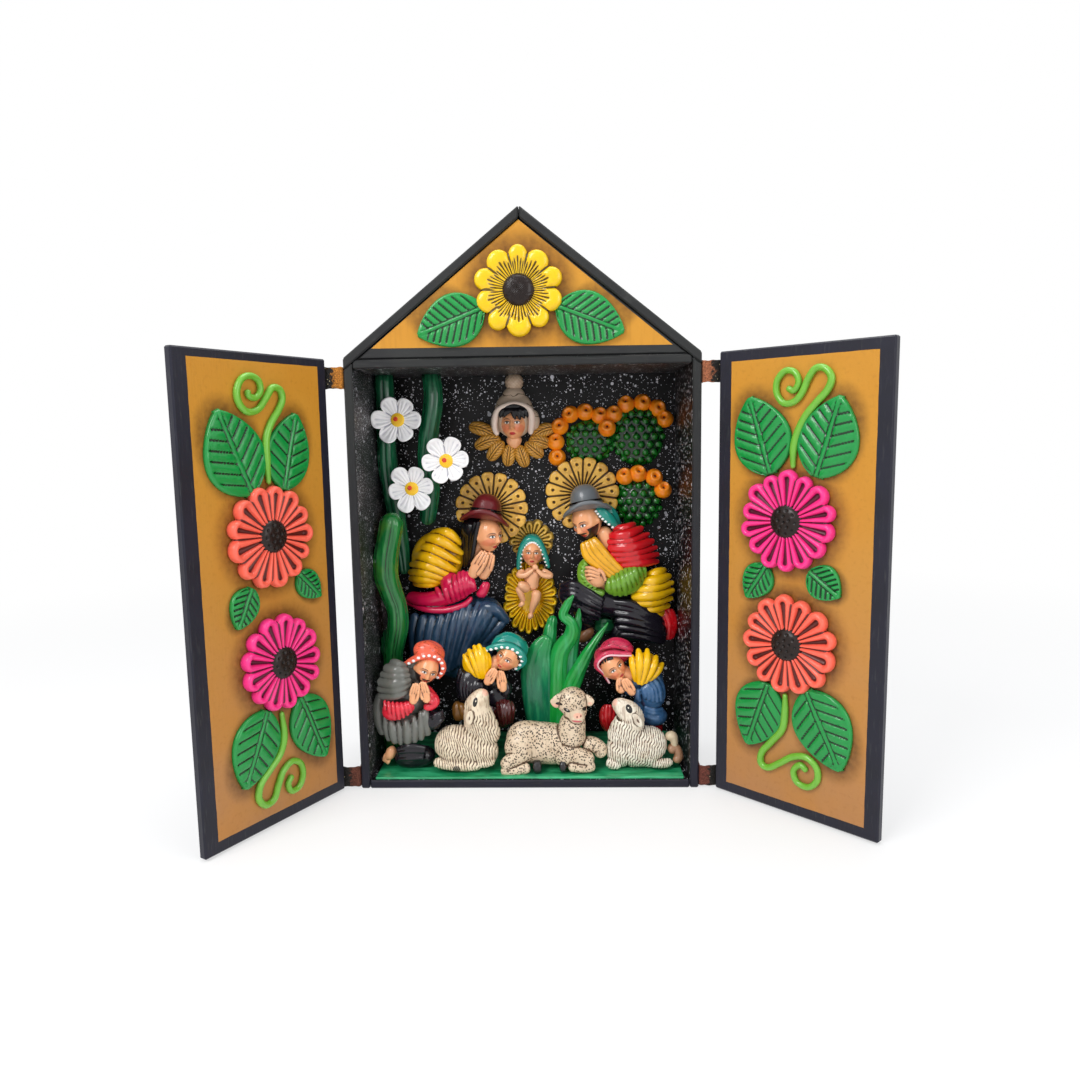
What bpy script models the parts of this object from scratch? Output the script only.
"""Retablo box: a gabled wooden case with two strap-hinged doors, full of modelled paste figures.

Metres, +Z up. The origin is the centre of the case's underside, +X is to the right of someone
who faces the open case, and -Y points out of its front. The doors stand open.
"""
from math import cos, hypot, pi, radians, sin, tan

import bmesh
import bpy
from mathutils import Vector

# Case
CASE_WIDTH = 0.200
CASE_DEPTH = 0.080
EAVE_HEIGHT = 0.252
ROOF_RISE = 0.080
BOARD = 0.005
BACK_BOARD = 0.003
CEILING_DROP = 0.006
GABLE_BOARD = 0.003
GABLE_RECESS = 0.0012
EDGE_ROUNDING = 0.0008
GLUE_GAP = 0.0003
MELT_SIZE = 0.0009

# Doors, in the closed place
DOOR_THICKNESS = 0.0048
DOOR_FLOOR_CLEARANCE = 0.001
DOOR_TOP_CLEARANCE = 0.0005
DOOR_MEETING_GAP = 0.0012
DOOR_SIDE_INSET = 0.0021
DOOR_FACE_CLEARANCE = 0.001

# Doors, open as they stand
LEFT_DOOR_TURN = 119.1
RIGHT_DOOR_TURN = 135.4
OPEN_EDGE_OUT = 0.0092
OPEN_EDGE_FORWARD = 0.0018

# Leather straps
STRAP_HEIGHT = 0.0125
STRAP_THICKNESS = 0.0009
STRAP_TOP_DROP = 0.0045
STRAP_BOTTOM_RISE = 0.0010
STRAP_ON_CASE = 0.0090
STRAP_ON_DOOR = 0.0060
STRAP_INNER_BEND = 0.0012
STRAP_OUTER_BEND = 0.0030

# Relief on the doors and the gable
DOOR_FLOWER_THICKNESS = 0.0058
DOOR_LEAF_THICKNESS = 0.0030
TENDRIL_RADIUS = 0.0019
GABLE_FLOWER_THICKNESS = 0.0060
GABLE_LEAF_THICKNESS = 0.0034

# Niche contents
GRASS_THICKNESS = 0.0015
GRASS_SIDE_MARGIN = 0.0035
GRASS_FRONT_MARGIN = 0.0006
HALO_THICKNESS = 0.0024
WHITE_FLOWER_THICKNESS = 0.0035
FRUIT_RADIUS = 0.0055

# Places on the drawings, in squares of about a millimetre: the niche is 190 squares across,
# 77 deep and 241 high, a door 97 by 251, and the gable is 190 across and 76 high.
NICHE_SQUARES = (190, 77, 241)
DOOR_SQUARES = (97, 251)
GABLE_SQUARES = (190, 76)

# Worked out from the values above
HALF_WIDTH = CASE_WIDTH / 2
FRONT = -CASE_DEPTH / 2
BACK_FACE = CASE_DEPTH / 2 - BACK_BOARD
INNER_HALF = HALF_WIDTH - BOARD
CEILING = EAVE_HEIGHT - CEILING_DROP
SLOPE = ROOF_RISE / HALF_WIDTH
ROOF_DROP = BOARD * hypot(1, SLOPE)
GABLE_FACE = FRONT + GABLE_RECESS
GABLE_FOOT = CEILING + BOARD + GLUE_GAP
DOOR_WIDTH = HALF_WIDTH - DOOR_SIDE_INSET - DOOR_MEETING_GAP / 2
DOOR_HEIGHT = EAVE_HEIGHT - DOOR_FLOOR_CLEARANCE - DOOR_TOP_CLEARANCE
DOOR_EDGE = HALF_WIDTH - DOOR_SIDE_INSET
DOOR_FACE = FRONT - DOOR_FACE_CLEARANCE
GRASS_TOP = BOARD + GLUE_GAP + GRASS_THICKNESS
UNIT = (2 * INNER_HALF / NICHE_SQUARES[0], (BACK_FACE - FRONT) / NICHE_SQUARES[1],
        (CEILING - BOARD) / NICHE_SQUARES[2])
DEPTH = Vector((0, 1, 0))
FRONT_SQUARE = -40
FLOOR_SQUARE = 5
SQUARE = 0.001
END_ROUNDING = 0.55

# Blocks that cut the pieces flat where they are glued down, as two corners
FAR = 1.0
BEHIND_WALL = ((-FAR, BACK_FACE - GLUE_GAP, -FAR), (FAR, FAR, FAR))
ABOVE_CEILING = ((-FAR, -FAR, CEILING - GLUE_GAP), (FAR, FAR, FAR))
UNDER_GRASS = ((-FAR, -FAR, -FAR), (FAR, FAR, GRASS_TOP + GLUE_GAP))


def roof_height(x, below=0.0):
    """Height of the roof's upper face at x, or of a level that far below it."""
    return EAVE_HEIGHT + ROOF_RISE - SLOPE * abs(x) - below


def in_niche(point):
    """A place on the niche's drawing."""
    x, y, z = point
    return Vector((x * UNIT[0], FRONT + (y - FRONT_SQUARE) * UNIT[1],
                   BOARD + (z - FLOOR_SQUARE) * UNIT[2]))


def on_gable(point):
    """A place on the gable's drawing: across, out of its face in metres, and up."""
    x, out, z = point
    return Vector((x * 2 * INNER_HALF / GABLE_SQUARES[0], GABLE_FACE - GLUE_GAP - out,
                   GABLE_FOOT + z * (ROOF_RISE - ROOF_DROP) / GABLE_SQUARES[1]))


def hinge_axis(turn):
    """Where the axis stands that carries the door's edge from its closed to its open place."""
    closed = Vector((DOOR_EDGE, DOOR_FACE))
    opened = Vector((HALF_WIDTH + OPEN_EDGE_OUT, FRONT - OPEN_EDGE_FORWARD))
    chord = closed - opened
    inward = Vector((chord.y, -chord.x)).normalized()
    if inward.y < 0:
        inward = -inward
    middle = (closed + opened) / 2
    return middle + inward * chord.length / 2 / tan(radians(turn) / 2)


def on_door(side, turn):
    """Gives the function that places a point of a door's drawing beside its hinge axis.

    The drawing counts across from the hinge edge, out of the inner face in metres, and up.
    """
    axis = hinge_axis(turn)

    def place(point):
        across, out, up = point
        x = DOOR_EDGE - across * DOOR_WIDTH / DOOR_SQUARES[0]
        z = DOOR_FLOOR_CLEARANCE + up * DOOR_HEIGHT / DOOR_SQUARES[1]
        return Vector((side * (x - axis.x), DOOR_FACE + GLUE_GAP + out - axis.y, z))

    return place


def material(name, colour, roughness=0.4, metallic=0.0):
    """Principled material, made once for each name."""
    found = bpy.data.materials.get(name)
    if found:
        return found
    made = bpy.data.materials.new(name)
    made.use_nodes = True
    shader = made.node_tree.nodes["Principled BSDF"]
    shader.inputs["Base Color"].default_value = (*colour, 1)
    shader.inputs["Roughness"].default_value = roughness
    shader.inputs["Metallic"].default_value = metallic
    return made


def add_node(name, shape, finish, parent=None, smooth=True):
    """Turns a bmesh into a named object."""
    mesh = bpy.data.meshes.new(name)
    bmesh.ops.recalc_face_normals(shape, faces=shape.faces[:])
    shape.to_mesh(mesh)
    shape.free()
    mesh.materials.append(finish)
    node = bpy.data.objects.new(name, mesh)
    bpy.context.scene.collection.objects.link(node)
    node.parent = parent
    if smooth:
        mesh.shade_smooth()
        mesh.set_sharp_from_angle(angle=radians(35))
    return node


def add_board(name, outline, low_y, high_y, finish):
    """Flat board with rounded edges: an outline of (x, z) points extruded along Y."""
    shape = bmesh.new()
    corners = [shape.verts.new((x, low_y, z)) for x, z in outline]
    face = shape.faces.new(corners)
    grown = bmesh.ops.extrude_face_region(shape, geom=[face])["geom"]
    moved = [item for item in grown if isinstance(item, bmesh.types.BMVert)]
    bmesh.ops.translate(shape, verts=moved, vec=(0, high_y - low_y, 0))
    board = add_node(name, shape, finish, smooth=False)
    rounding = board.modifiers.new("rounded edges", "BEVEL")
    rounding.width = EDGE_ROUNDING
    rounding.segments = 1
    return board


def skin(rings, place):
    """Closed solid through rings of points, with a cap at each end."""
    shape = bmesh.new()
    loops = [[shape.verts.new(place(point)) for point in ring] for ring in rings]
    for low, high in zip(loops, loops[1:]):
        for index, corner in enumerate(low):
            after = (index + 1) % len(low)
            shape.faces.new((corner, low[after], high[after], high[index]))
    shape.faces.new(loops[0])
    shape.faces.new(loops[-1])
    bmesh.ops.recalc_face_normals(shape, faces=shape.faces[:])
    return shape


def smooth_value(values, place):
    """Catmull-Rom value at a place from 0 to 1 along a list of numbers or vectors."""
    last = len(values) - 1
    start = min(int(place * last), last - 1)
    t = place * last - start
    before = values[max(start - 1, 0)]
    a, b = values[start], values[start + 1]
    after = values[min(start + 2, last)]
    return (a * 2 + (b - before) * t + (before * 2 - a * 5 + b * 4 - after) * t * t
            + (a * 3 - before - b * 3 + after) * t ** 3) * 0.5


def sweep(points, widths, depths=None, sides=8, steps=6, place=in_niche, ribs=0, groove=0.16):
    """Rounded limb along a smooth path: widths across it, depths out of the drawing.

    With ribs it swells and sinks that many times along its length.
    """
    path = [Vector(point) for point in points]
    depths = depths or widths
    steps = 2 * ribs if ribs else steps
    rings = []
    for step in range(-1, steps + 2):
        share = min(max(step / steps, 0), 1)
        centre = smooth_value(path, share)
        ahead = smooth_value(path, min(share + 0.02, 1)) - smooth_value(path, max(share - 0.02, 0))
        across = ahead.cross(DEPTH).normalized()
        out = across.cross(ahead).normalized()
        width, depth = smooth_value(widths, share), smooth_value(depths, share)
        if ribs and step % 2 == 0:
            width, depth = width * (1 - groove), depth * (1 - groove)
        if step < 0 or step > steps:
            outward = ahead.normalized() if step > 0 else -ahead.normalized()
            centre = centre + outward * min(width, depth) * END_ROUNDING
            width, depth = width * END_ROUNDING, depth * END_ROUNDING
        ring = []
        for side in range(sides):
            angle = 2 * pi * (side + 0.5) / sides
            ring.append(centre + across * width * cos(angle) + out * depth * sin(angle))
        rings.append(ring)
    return skin(rings, place)


def oval(centre, width, height, depth, tilt=0.0, sides=10, rings=6, ribs=0, place=in_niche):
    """Egg shape; tilt leans its upright axis to the right, in degrees."""
    axis = Vector((sin(radians(tilt)), 0, cos(radians(tilt)))) * height
    shares = [0.04 + 0.92 * ring / (rings - 1) for ring in range(rings)]
    if ribs:
        shares = [0.04 + 0.92 * ring / (2 * ribs) for ring in range(2 * ribs + 1)]
    circles = []
    across = axis.cross(DEPTH).normalized()
    for index, share in enumerate(shares):
        angle = pi * share
        size = sin(angle) * (0.87 if ribs and index % 2 == 0 else 1.0)
        middle = Vector(centre) - axis * cos(angle)
        circles.append([middle + across * width * size * cos(2 * pi * side / sides)
                        + DEPTH * depth * size * sin(2 * pi * side / sides)
                        for side in range(sides)])
    return skin(circles, place)


def block(low, high):
    """Plain block between two corners, used to cut a flat back or foot."""
    shape = bmesh.new()
    bmesh.ops.create_cube(shape, size=1)
    for corner in shape.verts:
        corner.co = [start + (end - start) * (c + 0.5) for start, end, c in zip(low, high, corner.co)]
    return shape


def fuse(name, shapes, finish, faces, cuts=()):
    """Melts overlapping solids into one, thins it to about so many faces and cuts it flat below.

    Each cut is the pair of corners of a block to take away, where the piece is glued down.
    """
    melted = bmesh.new()
    for shape in shapes:
        mesh = bpy.data.meshes.new(name)
        shape.to_mesh(mesh)
        shape.free()
        melted.from_mesh(mesh)
        bpy.data.meshes.remove(mesh)
    body = add_node(name, melted, finish)
    melting = body.modifiers.new("melted together", "REMESH")
    melting.mode = "VOXEL"
    melting.voxel_size = MELT_SIZE
    evaluated = body.evaluated_get(bpy.context.evaluated_depsgraph_get())
    dense = len(evaluated.data.polygons) * 2
    thinning = body.modifiers.new("fewer faces", "DECIMATE")
    thinning.ratio = faces / dense
    tools = [add_node(f"{name}_cut_{index}", block(*cut), finish) for index, cut in enumerate(cuts)]
    for tool in tools:
        cut = body.modifiers.new("flat where glued", "BOOLEAN")
        cut.operation = "DIFFERENCE"
        cut.solver = "EXACT"
        cut.object = tool
    evaluated = body.evaluated_get(bpy.context.evaluated_depsgraph_get())
    finished = bpy.data.meshes.new_from_object(evaluated)
    body.modifiers.clear()
    body.data = finished
    for tool in tools:
        bpy.data.objects.remove(tool)
    finished.shade_smooth()
    finished.set_sharp_from_angle(angle=radians(60))
    return body


PETAL_SEAM = 0.42
PETAL_CREST = 0.80
PETAL_SHOULDER = 0.97
PETAL_RIM = 0.93


def flower(centre, radii, petals, thickness, place, eye=0.34, notch=0.84, slot=0.80, start=0.0):
    """Flower of paste petals round a domed eye, flat behind: four columns of points a petal.

    Each petal has a groove on either side and a pressed slot along its middle.
    """
    columns = 4 * petals
    heights = (PETAL_SEAM, PETAL_CREST, slot * PETAL_CREST, PETAL_CREST)
    reach = (notch, PETAL_SHOULDER, 1.0, PETAL_SHOULDER)
    rows = [(1.0, 0.0), (PETAL_RIM, 1.0), (eye * 1.08, 0.75), (eye * 0.66, 1.2)]
    rings = []
    for size, rise in rows:
        on_petal = size >= PETAL_RIM
        ring = []
        for column in range(columns):
            angle = radians(start) + 2 * pi * column / columns
            wave = column % 4
            edge = reach[wave] if on_petal else 1.0
            lift = heights[wave] if on_petal else PETAL_CREST
            ring.append((centre[0] + radii[0] * size * edge * cos(angle), thickness * rise * lift,
                         centre[1] + radii[1] * size * edge * sin(angle)))
        rings.append(ring)
    return skin(rings, place)


LEAF_EDGE = 0.45
LEAF_MIDRIB = 0.55
LEAF_VEIN = 0.72
LEAF_END = 0.07


def leaf(base, tip, half_width, thickness, place, stations=7):
    """Pointed leaf with a pressed midrib and sloping veins, flat behind."""
    start, end = Vector((base[0], 0, base[1])), Vector((tip[0], 0, tip[1]))
    along = end - start
    across = along.cross(DEPTH).normalized() * half_width
    rings = []
    for station in range(stations + 1):
        share = station / stations
        crest = 1.0 if station % 2 else LEAF_VEIN
        spread = max(sin(pi * share ** 0.8) * (1.0 if station % 2 else 0.93), LEAF_END)
        sweep_back = 0.10 * sin(pi * share)
        section = ((-1, LEAF_EDGE), (-0.55, crest), (0, LEAF_MIDRIB), (0.55, crest), (1, LEAF_EDGE),
                   (1, 0), (-1, 0))
        ring = []
        for side, height in section:
            shift = share + sweep_back * (abs(side) - 0.5)
            point = start + along * shift + across * spread * side
            ring.append((point.x, thickness * height * (0.6 + 0.4 * min(spread, 1)), point.z))
        rings.append(ring)
    return skin(rings, place)


def tendril(points, place):
    """Curling stem of paste, tapered to its curled end and flat underneath."""
    count = int(1.5 * len(points))
    radius = TENDRIL_RADIUS / SQUARE
    path = [(x, radius * 0.8, z) for x, z in points]
    widths = [radius * (1 - 0.35 * index / count) for index in range(count)]

    def placed(point):
        return place((point[0], max(point[1], 0) * SQUARE, point[2]))

    return sweep(path, widths, sides=5, steps=count, place=placed)


WEDGE_NOTCH = 0.94
WEDGE_GROOVE = 0.55


def wedge_fan(centre, radius, wedges, place, back):
    """Round fan of wedges with pressed lines between them."""
    rings = []
    columns = 3 * wedges
    for size, out in ((0.30, 0.0), (0.99, 0.0), (0.97, 1.0), (0.34, 0.85)):
        ring = []
        for column in range(columns):
            angle = pi / 2 + 2 * pi * column / columns
            groove = column % 3 == 0
            edge = WEDGE_NOTCH if groove and size > 0.9 else 1.0
            lift = out * (WEDGE_GROOVE if groove else 1.0)
            ring.append((centre[0] + radius * size * edge * cos(angle),
                         back - HALO_THICKNESS / SQUARE * lift,
                         centre[1] + radius * size * edge * sin(angle)))
        rings.append(ring)
    return skin(rings, place)


# Finishes
BLACK_WOOD = ("black painted wood", (0.030, 0.030, 0.034), 0.38)
SPECKLED_WOOD = ("speckled black paint", (0.012, 0.012, 0.013), 0.45)
OCHRE_WOOD = ("ochre painted wood", (0.56, 0.29, 0.035), 0.45)
LEATHER = ("tan leather", (0.42, 0.18, 0.05), 0.8)
LEAF_GREEN = ("leaf green paint", (0.01, 0.30, 0.09), 0.25)
TENDRIL_GREEN = ("light green paint", (0.25, 0.50, 0.05), 0.25)
CACTUS_GREEN = ("cactus green paint", (0.01, 0.16, 0.07), 0.25)
CORAL = ("coral paint", (0.85, 0.16, 0.07), 0.25)
MAGENTA = ("magenta paint", (0.72, 0.01, 0.20), 0.25)
YELLOW = ("yellow paint", (0.90, 0.58, 0.01), 0.25)
WHITE = ("white paint", (0.80, 0.80, 0.83), 0.3)
GOLD = ("old gold paint", (0.50, 0.28, 0.06), 0.4)
FLEECE = ("cream fleece paint", (0.62, 0.52, 0.38), 0.35)
PRICKLY_GREEN = ("prickly pear green paint", (0.01, 0.10, 0.02), 0.2)
SKIRT_BLUE = ("navy paint", (0.02, 0.07, 0.16), 0.25)
MAN_BLACK = ("charcoal paint", (0.05, 0.04, 0.05), 0.25)
STRAW = ("straw paint", (0.75, 0.42, 0.02), 0.3)
GREY = ("grey paint", (0.13, 0.13, 0.12), 0.3)
MAROON = ("maroon paint", (0.14, 0.02, 0.02), 0.3)
RED = ("red paint", (0.55, 0.01, 0.03), 0.25)


def build_case():
    """Boards of the case: floor, sides, ceiling shelf, two roof boards, back and gable."""
    inner_back = BACK_FACE - GLUE_GAP
    black = material(*BLACK_WOOD)
    speckled = material(*SPECKLED_WOOD)
    floor_edge = INNER_HALF - GLUE_GAP
    add_board("floor_board",
              [(-floor_edge, 0), (floor_edge, 0), (floor_edge, BOARD), (-floor_edge, BOARD)],
              FRONT, inner_back, black)
    under = ROOF_DROP + GLUE_GAP
    for side, name in ((-1, "left_side_board"), (1, "right_side_board")):
        add_board(name, [(side * INNER_HALF, 0), (side * HALF_WIDTH, 0),
                         (side * HALF_WIDTH, roof_height(HALF_WIDTH, under)),
                         (side * INNER_HALF, roof_height(INNER_HALF, under))],
                  FRONT, inner_back, speckled)
    shelf_top = CEILING + BOARD
    shelf_end = INNER_HALF - GLUE_GAP
    under_roof = (EAVE_HEIGHT + ROOF_RISE - under - shelf_top) / SLOPE
    shelf_shoulder = min(under_roof, shelf_end - EDGE_ROUNDING * 2)
    add_board("ceiling_shelf", [(-shelf_end, CEILING), (shelf_end, CEILING),
                                (shelf_end, roof_height(shelf_end, under)), (shelf_shoulder, shelf_top),
                                (-shelf_shoulder, shelf_top), (-shelf_end, roof_height(shelf_end, under))],
              FRONT, inner_back, black)
    mitre = GLUE_GAP / 2
    for side, name in ((-1, "left_roof_board"), (1, "right_roof_board")):
        add_board(name, [(side * mitre, roof_height(mitre)), (side * HALF_WIDTH, roof_height(HALF_WIDTH)),
                         (side * HALF_WIDTH, roof_height(HALF_WIDTH, ROOF_DROP)),
                         (side * mitre, roof_height(mitre, ROOF_DROP))],
                  FRONT, inner_back, black)
    add_board("back_board", [(-HALF_WIDTH, 0), (HALF_WIDTH, 0), (HALF_WIDTH, EAVE_HEIGHT),
                             (0, EAVE_HEIGHT + ROOF_RISE), (-HALF_WIDTH, EAVE_HEIGHT)],
              BACK_FACE, CASE_DEPTH / 2, speckled)
    gable_reach = (roof_height(0, under) - GABLE_FOOT) / SLOPE
    add_board("gable_panel",
              [(-gable_reach, GABLE_FOOT), (gable_reach, GABLE_FOOT), (0, roof_height(0, under))],
              GABLE_FACE, GABLE_FACE + GABLE_BOARD, material(*OCHRE_WOOD))


def build_gable_relief():
    """Sunflower and two leaves on the gable."""
    green = material(*LEAF_GREEN)
    petals = flower((0, 36), (24.0, 25.0), 10, GABLE_FLOWER_THICKNESS, on_gable, notch=0.80, start=9)
    add_node("gable_flower", petals, material(*YELLOW))
    add_node("gable_leaf_left", leaf((-24.6, 26), (-56, 13.5), 11.0, GABLE_LEAF_THICKNESS, on_gable), green)
    add_node("gable_leaf_right", leaf((24.6, 26), (57, 13.5), 11.0, GABLE_LEAF_THICKNESS, on_gable), green)


def build_door(side, name, turn, upper_paint, lower_paint, drawing):
    """A door with its painted relief, on an empty that stands on the hinge axis."""
    axis = hinge_axis(turn)
    hinge = bpy.data.objects.new(f"{name}_hinge_axis", None)
    bpy.context.scene.collection.objects.link(hinge)
    hinge.location = (side * axis.x, axis.y, 0)
    hinge.rotation_euler.z = side * radians(turn)
    place = on_door(side, turn)
    edge_x = side * (DOOR_EDGE - axis.x)
    free_x = side * (DOOR_EDGE - DOOR_WIDTH - axis.x)
    face_y = DOOR_FACE - axis.y
    low, high = DOOR_FLOOR_CLEARANCE, DOOR_FLOOR_CLEARANCE + DOOR_HEIGHT
    board = add_board(f"{name}_door", [(edge_x, low), (free_x, low), (free_x, high), (edge_x, high)],
                      face_y - DOOR_THICKNESS, face_y, material(*OCHRE_WOOD))
    board.parent = hinge
    green = material(*LEAF_GREEN)
    for level, paint in (("upper", upper_paint), ("lower", lower_paint)):
        centre, radii, petals = drawing[f"{level} flower"]
        add_node(f"{name}_door_{level}_flower",
                 flower(centre, radii, petals, DOOR_FLOWER_THICKNESS, place), material(*paint), hinge)
        add_node(f"{name}_door_{level}_tendril", tendril(drawing[f"{level} tendril"], place),
                 material(*TENDRIL_GREEN), hinge)
    for leaf_name, (base, tip, half_width) in drawing["leaves"].items():
        add_node(f"{name}_door_{leaf_name}", leaf(base, tip, half_width, DOOR_LEAF_THICKNESS, place),
                 green, hinge)


LEFT_DRAWING = {
    "upper flower": ((46.5, 156.5), (27.5, 27.5), 13),
    "lower flower": ((44.2, 88.2), (26.5, 26.5), 13),
    "leaves": {
        "upper_leaf_inner": ((35.5, 184.6), (25.4, 220.3), 11.5),
        "upper_leaf_outer": ((58.0, 184.3), (75.5, 221.3), 14.5),
        "small_leaf_outer": ((60.2, 129.2), (70.5, 112.5), 7.5),
        "small_leaf_inner": ((28.0, 132.2), (14.6, 120.0), 6.5),
        "lower_leaf_outer": ((56.5, 60.4), (72.0, 28.4), 12.0),
        "lower_leaf_inner": ((31.5, 62.0), (16.7, 26.7), 11.5),
    },
    "upper tendril": [(45.8, 185.4), (46.3, 196.7), (46.0, 206.4), (42.8, 214.3), (37.1, 221.5),
                      (33.9, 227.4), (35.2, 232.4), (40.2, 233.1), (44.6, 227.9), (50.2, 221.9),
                      (57.0, 220.7), (61.5, 224.5), (62.7, 230.4), (59.7, 236.4), (54.2, 238.6),
                      (49.0, 236.6), (47.9, 231.6), (51.2, 227.9), (55.4, 228.6), (56.1, 231.9)],
    "lower tendril": [(46.1, 59.5), (45.2, 48.3), (48.2, 39.3), (55.3, 32.9), (62.4, 26.8),
                      (64.2, 19.6), (60.2, 14.4), (54.3, 15.4), (50.9, 22.1), (47.0, 28.6),
                      (40.6, 31.6), (35.0, 28.6), (33.4, 21.9), (36.4, 15.9), (42.0, 15.2),
                      (44.2, 20.0), (40.9, 24.2)],
}
RIGHT_DRAWING = {
    "upper flower": ((44.3, 159.8), (27.0, 27.0), 14),
    "lower flower": ((46.0, 94.3), (27.5, 27.5), 13),
    "leaves": {
        "upper_leaf_inner": ((33.0, 187.6), (20.9, 224.5), 14.0),
        "upper_leaf_outer": ((60.3, 186.2), (71.6, 222.9), 13.0),
        "small_leaf_inner": ((31.5, 133.0), (21.2, 117.7), 7.5),
        "small_leaf_outer": ((58.6, 133.2), (72.9, 123.6), 8.0),
        "lower_leaf_inner": ((33.6, 67.0), (22.8, 33.9), 12.5),
        "lower_leaf_outer": ((58.0, 68.0), (76.7, 33.5), 13.5),
    },
    "upper tendril": [(46.7, 189.0), (46.8, 197.9), (49.0, 206.4), (53.1, 214.2), (59.0, 220.9),
                      (64.4, 226.5), (66.5, 232.3), (63.2, 237.1), (58.1, 237.6), (54.2, 233.0),
                      (50.9, 226.0), (46.6, 221.6), (40.8, 221.0), (36.6, 226.0), (36.6, 232.6),
                      (41.0, 237.3), (46.4, 236.4), (48.8, 231.4), (46.2, 227.2), (42.2, 229.0)],
    "lower tendril": [(44.9, 65.1), (45.1, 56.3), (43.7, 47.0), (37.4, 38.3), (31.6, 30.7),
                      (31.2, 24.4), (35.9, 23.0), (43.1, 27.9), (50.4, 33.2), (58.0, 34.9),
                      (63.9, 31.0), (64.6, 24.2), (59.8, 19.0), (53.3, 19.7), (50.9, 25.3),
                      (54.7, 29.8), (59.0, 27.3)],
}


def build_straps(side, name, turn):
    """Two leather straps, glued to the case's side and to the back of the open door.

    Each is a band with its path seen from above: along the case's side, round the gap in front
    of the hinge axis, and onto the door's outer face.
    """
    skin_out = GLUE_GAP + STRAP_THICKNESS
    axis = hinge_axis(turn)
    edge = Vector((DOOR_EDGE - axis.x, DOOR_FACE - DOOR_THICKNESS - GLUE_GAP - axis.y))
    on_back = Vector((edge.x - STRAP_ON_DOOR, edge.y))

    def opened(point, away=0.0):
        angle = radians(turn)
        x, y = point.x, point.y - away
        return Vector((axis.x + x * cos(angle) - y * sin(angle), axis.y + x * sin(angle) + y * cos(angle)))

    near_case = HALF_WIDTH + GLUE_GAP
    case_run = [Vector((near_case, FRONT + STRAP_ON_CASE)), Vector((near_case, FRONT + STRAP_INNER_BEND))]
    case_back = [Vector((HALF_WIDTH + skin_out, FRONT + STRAP_ON_CASE)),
                 Vector((HALF_WIDTH + skin_out, FRONT + STRAP_OUTER_BEND))]
    door_run = [opened(edge), opened(on_back)]
    door_back = [opened(edge, STRAP_THICKNESS), opened(on_back, STRAP_THICKNESS)]
    outline = case_run + door_run + door_back[::-1] + case_back[::-1]
    levels = {"upper": EAVE_HEIGHT - STRAP_TOP_DROP - STRAP_HEIGHT, "lower": STRAP_BOTTOM_RISE}
    for level, low in levels.items():
        shape = bmesh.new()
        corners = [shape.verts.new((side * point.x, point.y, low)) for point in outline]
        face = shape.faces.new(corners)
        grown = bmesh.ops.extrude_face_region(shape, geom=[face])["geom"]
        moved = [item for item in grown if isinstance(item, bmesh.types.BMVert)]
        bmesh.ops.translate(shape, verts=moved, vec=(0, 0, STRAP_HEIGHT))
        add_node(f"{name}_{level}_strap", shape, material(*LEATHER), smooth=False)


def build_grass():
    """Slab of green ground that everything in front stands on."""
    half = INNER_HALF - GRASS_SIDE_MARGIN
    low = BOARD + GLUE_GAP
    add_board("grass_base", [(-half, low), (half, low), (half, GRASS_TOP), (-half, GRASS_TOP)],
              FRONT + GRASS_FRONT_MARGIN, BACK_FACE - GLUE_GAP, material(*CACTUS_GREEN))
    bpy.data.objects["grass_base"].modifiers["rounded edges"].width = GRASS_THICKNESS / 4


def build_cacti():
    """Three tall columns of cactus, each with a pressed groove, and their white flowers."""
    green = material(*CACTUS_GREEN)
    left = [(-88.3, 13, 249), (-88.5, 13, 231), (-88.4, 13, 206), (-88.0, 14, 187), (-86.5, 20, 162),
            (-85.0, 25, 147)]
    fuse("tall_cactus_left", [sweep(left, [5.8, 6.1, 6.0, 6.2, 6.2, 5.0], sides=9, steps=9)],
         green, 200, [ABOVE_CEILING])
    right = [(-59.4, 12.5, 249), (-57.8, 12.3, 232), (-63.0, 11.6, 200), (-62.0, 16.0, 176),
             (-66.5, 27.5, 151)]
    fuse("tall_cactus_right", [sweep(right, [5.4, 6.2, 6.0, 6.2, 4.6], sides=9, steps=9)],
         green, 200, [ABOVE_CEILING])
    short = [(-82.7, -4, 161), (-83.6, -4, 153), (-86.4, -5, 135), (-82.6, -5, 108), (-82.4, -3, 90),
             (-84.2, 0, 60), (-84.2, 2, 20), (-84.2, 2, 6)]
    fuse("short_cactus", [sweep(short, [6.6, 7.4, 7.6, 7.8, 6.6, 6.2, 6.0, 6.0], sides=9, steps=12)],
         material(*LEAF_GREEN), 260, [UNDER_GRASS])
    spots = (("upper", (-79.1, 218.3), 15.2, 6.3), ("middle", (-49.4, 192.8), 14.6, 3.1),
             ("lower", (-72.0, 175.8), 14.4, 7.0))
    for name, centre, radius, back in spots:
        def place(point, back=back):
            return in_niche((point[0], back, point[2])) - DEPTH * point[1]
        petals = flower(centre, (radius, radius), 6, WHITE_FLOWER_THICKNESS, place, eye=0.24,
                        notch=0.72, slot=0.9, start=12)
        add_node(f"white_flower_{name}", petals, material(*WHITE))


def fruit(x, y, z):
    """Round fruit."""
    radius = FRUIT_RADIUS / SQUARE
    return oval((x, y, z), radius, radius, radius, sides=8, rings=5)


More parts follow.
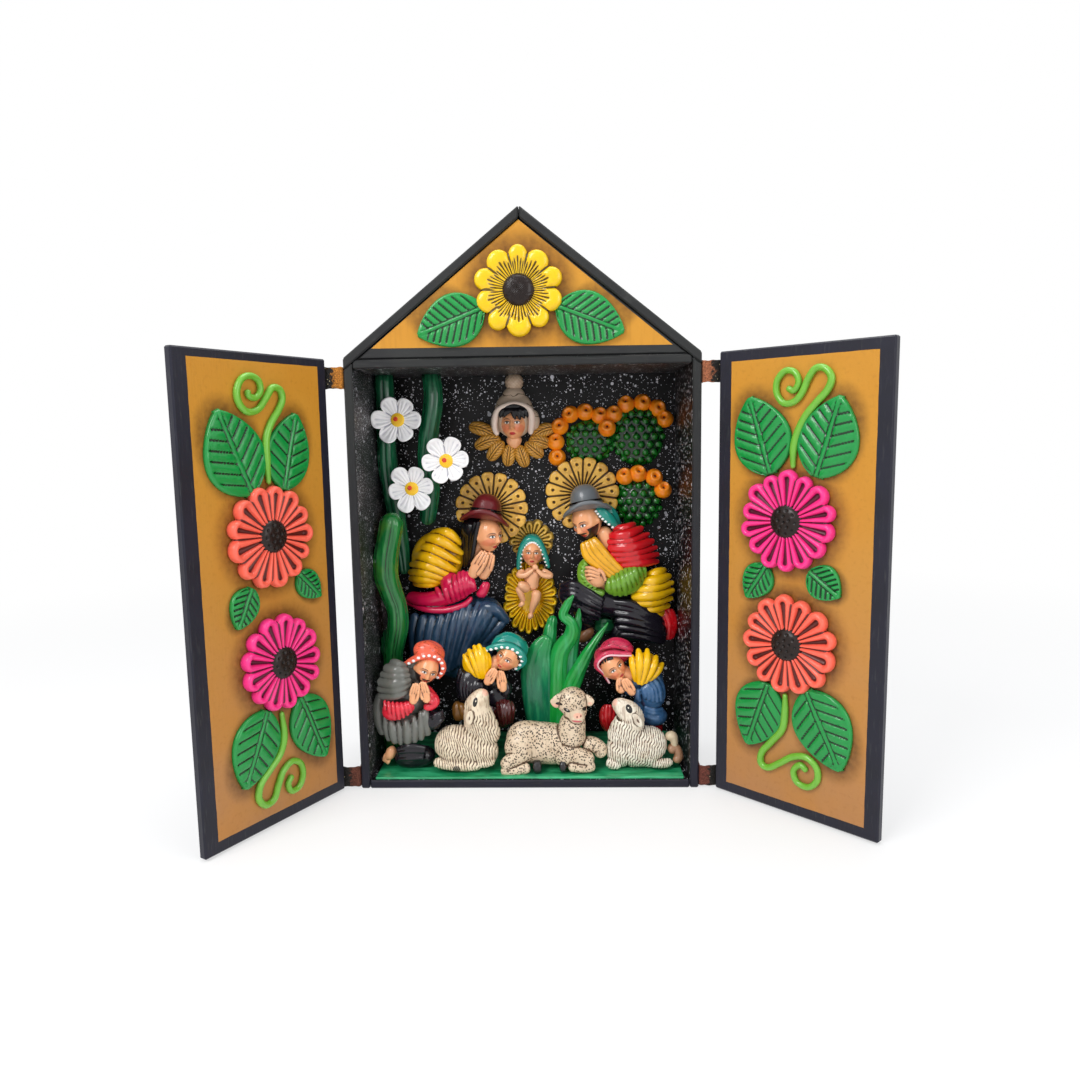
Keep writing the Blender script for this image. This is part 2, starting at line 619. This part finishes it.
def build_prickly_pears():
    """Bumpy pads against the back wall, ringed with fruit."""
    green = material(*PRICKLY_GREEN)
    upper = [oval((39.9, 31.8, 203.0), 15.3, 14.0, 5.4), oval((71.0, 31.4, 205.6), 16.5, 18.6, 5.8),
             oval((51.6, 32.6, 214.0), 7.6, 9.0, 4.6, sides=8, rings=5)]
    ring = ((18.6, 31, 193.2), (17.9, 31, 203.0), (20.6, 31, 213.0), (27.4, 31, 220.6), (36.9, 30.5, 221.9),
            (46.3, 30, 219.4), (50.7, 26, 211.4), (55.2, 30, 220.2), (63.2, 31, 226.3), (73.7, 31, 227.3),
            (83.3, 31, 223.6), (87.9, 31, 216.6))
    fuse("prickly_pear_upper", upper + [fruit(*spot) for spot in ring], green, 900, [BEHIND_WALL])
    lower = [oval((71.2, 30.2, 164.4), 14.8, 17.0, 7.2)]
    ring = ((61.8, 24.2, 180.6), (70.2, 24.2, 182.2), (80.5, 24.4, 179.6), (86.3, 25.5, 171.6))
    fuse("prickly_pear_lower", lower + [fruit(*spot) for spot in ring], green, 360, [BEHIND_WALL])


def build_agave():
    """Clump of thick pointed leaves behind the middle sheep."""
    leaves = [
        sweep([(9.5, 0, 4), (5.5, 1, 34), (4.5, 2, 56), (9.0, 2, 76)], [7, 9, 9.2, 5.5], [5, 5.5, 5, 3]),
        sweep([(13, 1, 8), (17, 2, 46), (20, 3, 74), (27, 1, 86), (22, -1, 97), (28, -3, 108)],
              [6, 6, 5.5, 4.2, 3.2, 1.2], steps=9),
        sweep([(15, 0, 6), (23, 1, 42), (35, 2, 68), (49, 3, 89)], [5.5, 6.2, 4.0, 0.9]),
        sweep([(20, 4, 40), (26, 5, 74), (31, 5, 98)], [5, 4.0, 1.2], steps=4),
        sweep([(9, 5, 40), (12, 8, 76), (15, 12, 93)], [5, 5, 3.2], steps=4),
    ]
    fuse("agave", leaves, material(*CACTUS_GREEN), 420, [UNDER_GRASS])


def build_kneeling_woman():
    """Woman kneeling on the left, in hat, shawl bundle, blouse and pleated skirt."""
    shapes = [
        sweep([(-48, 24, 104), (-46, 23, 90), (-46, 22, 76), (-48, 23, 62), (-50, 25, 50)],
              [28, 29.5, 25.5, 20, 15], [12, 14, 14, 13, 12], sides=12),
        oval((-55, 22, 107), 26.0, 12.5, 13.0, tilt=6),
        oval((-61, 24, 129.5), 18.5, 20.5, 13.5, tilt=16, ribs=5, sides=12),
        sweep([(-44, 18, 122), (-38, 13, 108), (-31, 10, 116)], [8.5, 7.5, 4.5]),
        sweep([(-34, 11, 116), (-27, 9.5, 125), (-23.5, 9, 133)], [5, 4.6, 2.0], [4.5, 4, 2], sides=6,
              steps=3),
        sweep([(-40, 19, 127), (-31, 16, 140)], [7, 6], steps=2),
        oval((-26.5, 14.5, 145.5), 8.6, 11.2, 8.6, tilt=14),
        oval((-25.8, 14.5, 163.0), 10.4, 8.6, 8.0, tilt=10),
        oval((-27.6, 14.5, 155.6), 17.4, 3.0, 8.7, tilt=10, sides=12, rings=4),
    ]
    fuse("kneeling_woman", shapes, material(*SKIRT_BLUE), 660, [BEHIND_WALL])
    add_node("woman_halo", wedge_fan((-24.2, 161.0), 23.7, 14, in_niche, back=26.2), material(*GOLD))


def build_kneeling_man():
    """Man kneeling on the right, in hat, shawl, green coat and dark trousers."""
    shapes = [
        sweep([(72, 21, 97), (50, 18, 101), (31, 16, 103)], [12.5, 11, 9.5], [13, 11, 9]),
        sweep([(34, 19, 98), (36, 22, 86), (35, 24, 77)], [8, 6.5, 4.5], steps=4),
        sweep([(78, 24, 92), (70, 24, 82), (52, 25, 79)], [12, 11, 7], steps=4),
        oval((67, 17, 135.5), 16.5, 13.5, 12.0, tilt=28, ribs=5, sides=12),
        sweep([(62, 27, 132), (70, 28, 108)], [12, 12], [10, 10], steps=3),
        sweep([(35, 13, 139.5), (46, 10, 132), (59, 12, 122)], [5, 7, 7], ribs=4),
        sweep([(69, 15, 119), (57, 11, 109), (42, 9, 109), (36, 9, 115)], [9, 9, 7.5, 5.5], ribs=5,
              groove=0.1),
        sweep([(47, 8, 111), (41, 7, 118), (36.5, 7, 124)], [5.2, 5.2, 2.4], sides=6, steps=3),
        oval((79.2, 22, 106), 13.8, 18.0, 13.5, tilt=20, ribs=6, sides=12),
        oval((85.0, 24, 86.0), 8.5, 11.0, 10.5, tilt=-20),
        sweep([(49, 16, 133), (43, 15, 145)], [7, 6], steps=2),
        oval((36.0, 14.5, 150.5), 8.8, 11.6, 8.6, tilt=-18),
        oval((36.8, 14.5, 165.2), 9.9, 8.2, 8.0, tilt=-9),
        oval((38.3, 14.5, 160.6), 16.6, 3.0, 8.7, tilt=-9, sides=12, rings=4),
        sweep([(46, 15, 158), (52, 16, 153), (57, 17, 149)], [4, 4.5, 2.5], [4, 4, 3], steps=3, sides=6),
        oval((48, 22, 85.8), 7.5, 6.6, 6.0, sides=8, rings=5),
    ]
    fuse("kneeling_man", shapes, material(*MAN_BLACK), 740, [BEHIND_WALL])
    add_node("man_halo", wedge_fan((34.5, 169.7), 23.9, 14, in_niche, back=26.2), material(*GOLD))


def build_infant():
    """Infant lying on an oval of straw, with a halo of loops behind the head."""
    straw = [oval((-0.6, 33, 101), 18.4, 24.8, 5.5, sides=16, rings=9)]
    halo = [oval((0.8, 34, 137.4), 14.6, 14.4, 3.6, sides=14, rings=6)]
    body = [
        oval((1.2, 25.5, 131.0), 6.8, 8.6, 6.0, sides=8),
        sweep([(0.8, 27, 124), (0.4, 26, 115), (0.2, 27, 107)], [6.5, 7.2, 6.0], [5, 5, 5], steps=4),
        sweep([(-1.5, 27, 106), (-8.5, 24, 103), (-4, 27, 95)], [4, 3.6, 2.4], sides=6),
        sweep([(2.5, 27, 106), (4.5, 25, 98), (1.5, 27, 88)], [4, 3.4, 2.2], sides=6),
        sweep([(-6.5, 25.5, 118), (-8, 23, 112), (-1, 21, 117)], [2.8, 2.8, 2.2], sides=6),
        sweep([(7.5, 25.5, 118), (9, 23, 112), (2, 21, 117)], [2.8, 2.8, 2.2], sides=6),
    ]
    fuse("infant_on_straw", straw + halo + body, material(*STRAW), 620, [BEHIND_WALL])


def build_cherub():
    """Winged head in a knitted cap, high on the back wall."""
    shapes = [
        oval((-9.0, 26.5, 211.5), 10.4, 11.0, 9.5),
        oval((-8.6, 28.0, 220.5), 12.6, 15.8, 9.6, rings=7),
        oval((-8.0, 28.5, 239.5), 4.4, 5.2, 4.2, sides=8, rings=5),
        sweep([(-20.0, 29, 219), (-20.6, 28, 208), (-19.6, 28, 202)], [3.4, 3.2, 2.2], [5, 4, 3],
              sides=6, steps=3),
        sweep([(2.4, 29, 219), (3.0, 28, 208), (2.2, 28, 202)], [3.4, 3.2, 2.2], [5, 4, 3],
              sides=6, steps=3),
        sweep([(-9.2, 30, 204), (-9.2, 31.5, 193)], [7.5, 3.5], steps=3),
    ]
    feathers = ((-34.0, 208.5, 4.8), (-33.0, 200.5, 5.2), (-28.5, 194.0, 5.4), (-21.0, 190.0, 5.2))
    for x, z, size in feathers:
        root = (-16.0, 32.5, 204.0)
        shapes.append(sweep([root, ((x - 16.0) / 2, 31.0, (z + 203.0) / 2), (x, 31.5, z)],
                            [4.0, size, size * 0.6], [3.2, 3.6, 2.6], sides=6, steps=3))
        mirrored = min(-17.4 - x, 7.5)
        root = (-2.0, 32.5, 204.0)
        shapes.append(sweep([root, ((mirrored - 2.0) / 2, 31.0, (z + 203.0) / 2), (mirrored, 31.5, z)],
                            [4.0, size, size * 0.6], [3.2, 3.6, 2.6], sides=6, steps=3))
    fuse("cherub", shapes, material(*GOLD), 620, [BEHIND_WALL])


def build_shepherds():
    """Three praying shepherds who kneel behind the sheep."""
    left = [
        sweep([(-76, -19, 68), (-79, -19, 50), (-78, -19, 34), (-77, -19, 18)], [11, 15, 15, 15.5],
              [9, 10, 10.5, 11], sides=12),
        oval((-63.2, -22, 67.0), 7.6, 9.4, 7.0, tilt=12),
        oval((-63.6, -20.5, 73.2), 11.0, 10.6, 8.6, tilt=12),
        sweep([(-68, -22, 66), (-74, -22, 69)], [6, 5], sides=6, steps=2),
        sweep([(-86, -23, 48), (-83, -26, 39), (-74, -27, 43)], [6, 6.2, 4.2], steps=4),
        sweep([(-62, -22, 52), (-56, -24, 48), (-62, -26, 47)], [5, 4.2, 3.6], sides=6, steps=4),
        sweep([(-73, -26.5, 45), (-68, -27, 54), (-64.5, -27, 62)], [4.6, 4.2, 1.8], sides=6, steps=3),
        sweep([(-70, -20, 24), (-60, -20, 36)], [9, 7.5], steps=3),
        sweep([(-84, -20, 12), (-66, -20, 14)], [8, 8], steps=3),
        sweep([(-88, -20, 10), (-88, -22, 18)], [4, 2.6], sides=6, steps=2),
    ]
    fuse("left_shepherd", left, material(*GREY), 460, [UNDER_GRASS])
    middle = [
        sweep([(-33, -6, 70), (-37, -6, 54), (-33, -6, 34), (-30, -4.5, 12), (-30, -4.5, 4)],
              [9, 11, 11, 13, 13], [8, 9, 9, 8.5, 8.5], sides=10),
        oval((-34, -8, 68.5), 11.5, 11.5, 8.0, tilt=-24, ribs=4),
        oval((-14.5, -9, 70.0), 7.4, 9.4, 7.0, tilt=-30),
        oval((-15.0, -7.5, 75.6), 13.6, 10.4, 8.4, tilt=14),
        sweep([(-26, -7, 66), (-20, -8, 69)], [6, 5], sides=6, steps=2),
        sweep([(-40, -10, 56), (-34, -14, 46), (-26, -15, 50)], [6, 5.6, 4], steps=4),
        sweep([(-28, -15, 47), (-21, -15, 58), (-16, -15, 66)], [4.6, 4.2, 1.8], sides=6, steps=3),
        sweep([(-13, -12, 46), (-17, -14, 52), (-19, -14, 56)], [3, 3.4, 2.6], sides=6, steps=3),
        sweep([(-26, -5, 28), (-15, -6, 36)], [9, 7], [8, 7], steps=3),
        sweep([(-42, -7, 30), (-45, -8, 37)], [5, 4], sides=6, steps=2),
    ]
    fuse("middle_shepherdess", middle, material(*MAROON), 460, [UNDER_GRASS])
    right = [
        sweep([(71, -6, 66), (74, -6, 50), (72, -6, 32), (68, -4.5, 12), (68, -4.5, 4)],
              [9, 10.5, 11.5, 15, 15], [8, 9, 9, 8.5, 8.5], sides=10),
        oval((71.5, -8, 66.0), 12.4, 11.6, 8.4, tilt=26, ribs=4),
        oval((52.2, -9, 65.5), 7.2, 9.4, 7.0, tilt=30),
        oval((53.0, -7.5, 71.6), 11.8, 11.0, 8.4, tilt=14),
        sweep([(62, -7, 64), (57, -8, 66)], [6, 5], sides=6, steps=2),
        sweep([(77, -10, 53), (75, -13, 42), (65, -15, 44)], [6.4, 6.2, 4], steps=4),
        sweep([(66, -15, 44), (59, -15, 51), (54.5, -15, 57)], [4.6, 4.2, 1.8], sides=6, steps=3),
        sweep([(64, -5, 28), (51, -6, 34)], [9, 7], [8, 7], steps=3),
    ]
    fuse("right_shepherdess", right, material(*RED), 440, [UNDER_GRASS])


def build_sheep():
    """Three sheep in front: the outer two look up, the middle one looks out."""
    fleece = material(*FLEECE)
    left = [
        oval((-41.5, -26, 20.0), 20.5, 15.5, 9.6, rings=7),
        sweep([(-32, -26.5, 24), (-29, -27, 38), (-30, -27, 46)], [10, 7, 5.2], [8, 6, 5]),
        sweep([(-31, -27, 46), (-28.4, -27.5, 51), (-25.4, -28, 57)], [5, 4, 2.2], sides=8, steps=3),
        sweep([(-32.5, -30.5, 45), (-35.4, -31, 38)], [2.6, 1.6], [1.6, 1.2], sides=6, steps=2),
        sweep([(-57, -27, 9), (-44, -28, 7.5), (-24, -28, 8)], [4, 3.6, 3.2], sides=6, steps=4),
    ]
    fuse("left_sheep", left, fleece, 380, [UNDER_GRASS])
    middle = [
        sweep([(-10, -25, 18), (6, -25, 22), (24, -26, 22)], [12.5, 14.5, 14], [9, 10, 9], sides=10),
        sweep([(20, -27, 28), (24, -28.5, 38)], [11, 8], [8, 7], steps=3),
        oval((25.6, -30, 46.0), 7.6, 11.4, 6.4, tilt=-6),
        sweep([(20, -29, 48.5), (14, -29, 45.5), (11, -29.5, 42.5)], [3, 3, 1.6], [1.8, 1.8, 1.4],
              sides=6, steps=3),
        sweep([(32, -29, 49), (37, -29, 47), (40.4, -29.5, 44)], [3, 3, 1.6], [1.8, 1.8, 1.4],
              sides=6, steps=3),
        sweep([(30, -27, 24), (38, -28, 21), (42, -29, 17)], [7, 5.6, 4], [6, 5, 4], steps=4),
        sweep([(16, -31, 12), (30, -32, 10), (39, -32.5, 11)], [6, 4.6, 3.4], [4.5, 4, 3.4], steps=4),
        sweep([(-12, -28, 14), (-15, -31.5, 10), (-2, -33, 9)], [8, 6, 3.6], [6, 4.4, 3], steps=4),
    ]
    fuse("middle_sheep", middle, fleece, 500, [UNDER_GRASS])
    right = [
        oval((67.5, -24, 20.5), 19.5, 15.0, 9.6, rings=7),
        sweep([(58, -24.5, 25), (56.5, -25, 36), (57.5, -25, 40)], [10, 7.6, 5.6], [8, 6, 5]),
        sweep([(59.5, -25, 40.5), (55.5, -25.5, 43.5), (51.6, -26, 47)], [5, 4.2, 2.4], sides=8, steps=3),
        sweep([(61.5, -28.5, 41), (65.4, -29, 37)], [2.4, 1.6], [1.6, 1.2], sides=6, steps=2),
        sweep([(80, -24, 27), (86.4, -25, 24), (90.2, -25, 17)], [4.5, 3.6, 2.4], sides=6, steps=4),
        sweep([(50, -26, 9), (64, -27, 7.5), (82, -26, 8)], [4, 3.4, 3.2], sides=6, steps=4),
    ]
    fuse("right_sheep", right, fleece, 400, [UNDER_GRASS])


for leftover in list(bpy.data.objects):
    bpy.data.objects.remove(leftover)
build_case()
build_gable_relief()
build_door(-1, "left", LEFT_DOOR_TURN, CORAL, MAGENTA, LEFT_DRAWING)
build_door(1, "right", RIGHT_DOOR_TURN, MAGENTA, CORAL, RIGHT_DRAWING)
build_straps(-1, "left", LEFT_DOOR_TURN)
build_straps(1, "right", RIGHT_DOOR_TURN)
build_grass()
build_cacti()
build_prickly_pears()
build_agave()
build_kneeling_woman()
build_kneeling_man()
build_infant()
build_cherub()
build_shepherds()
build_sheep()
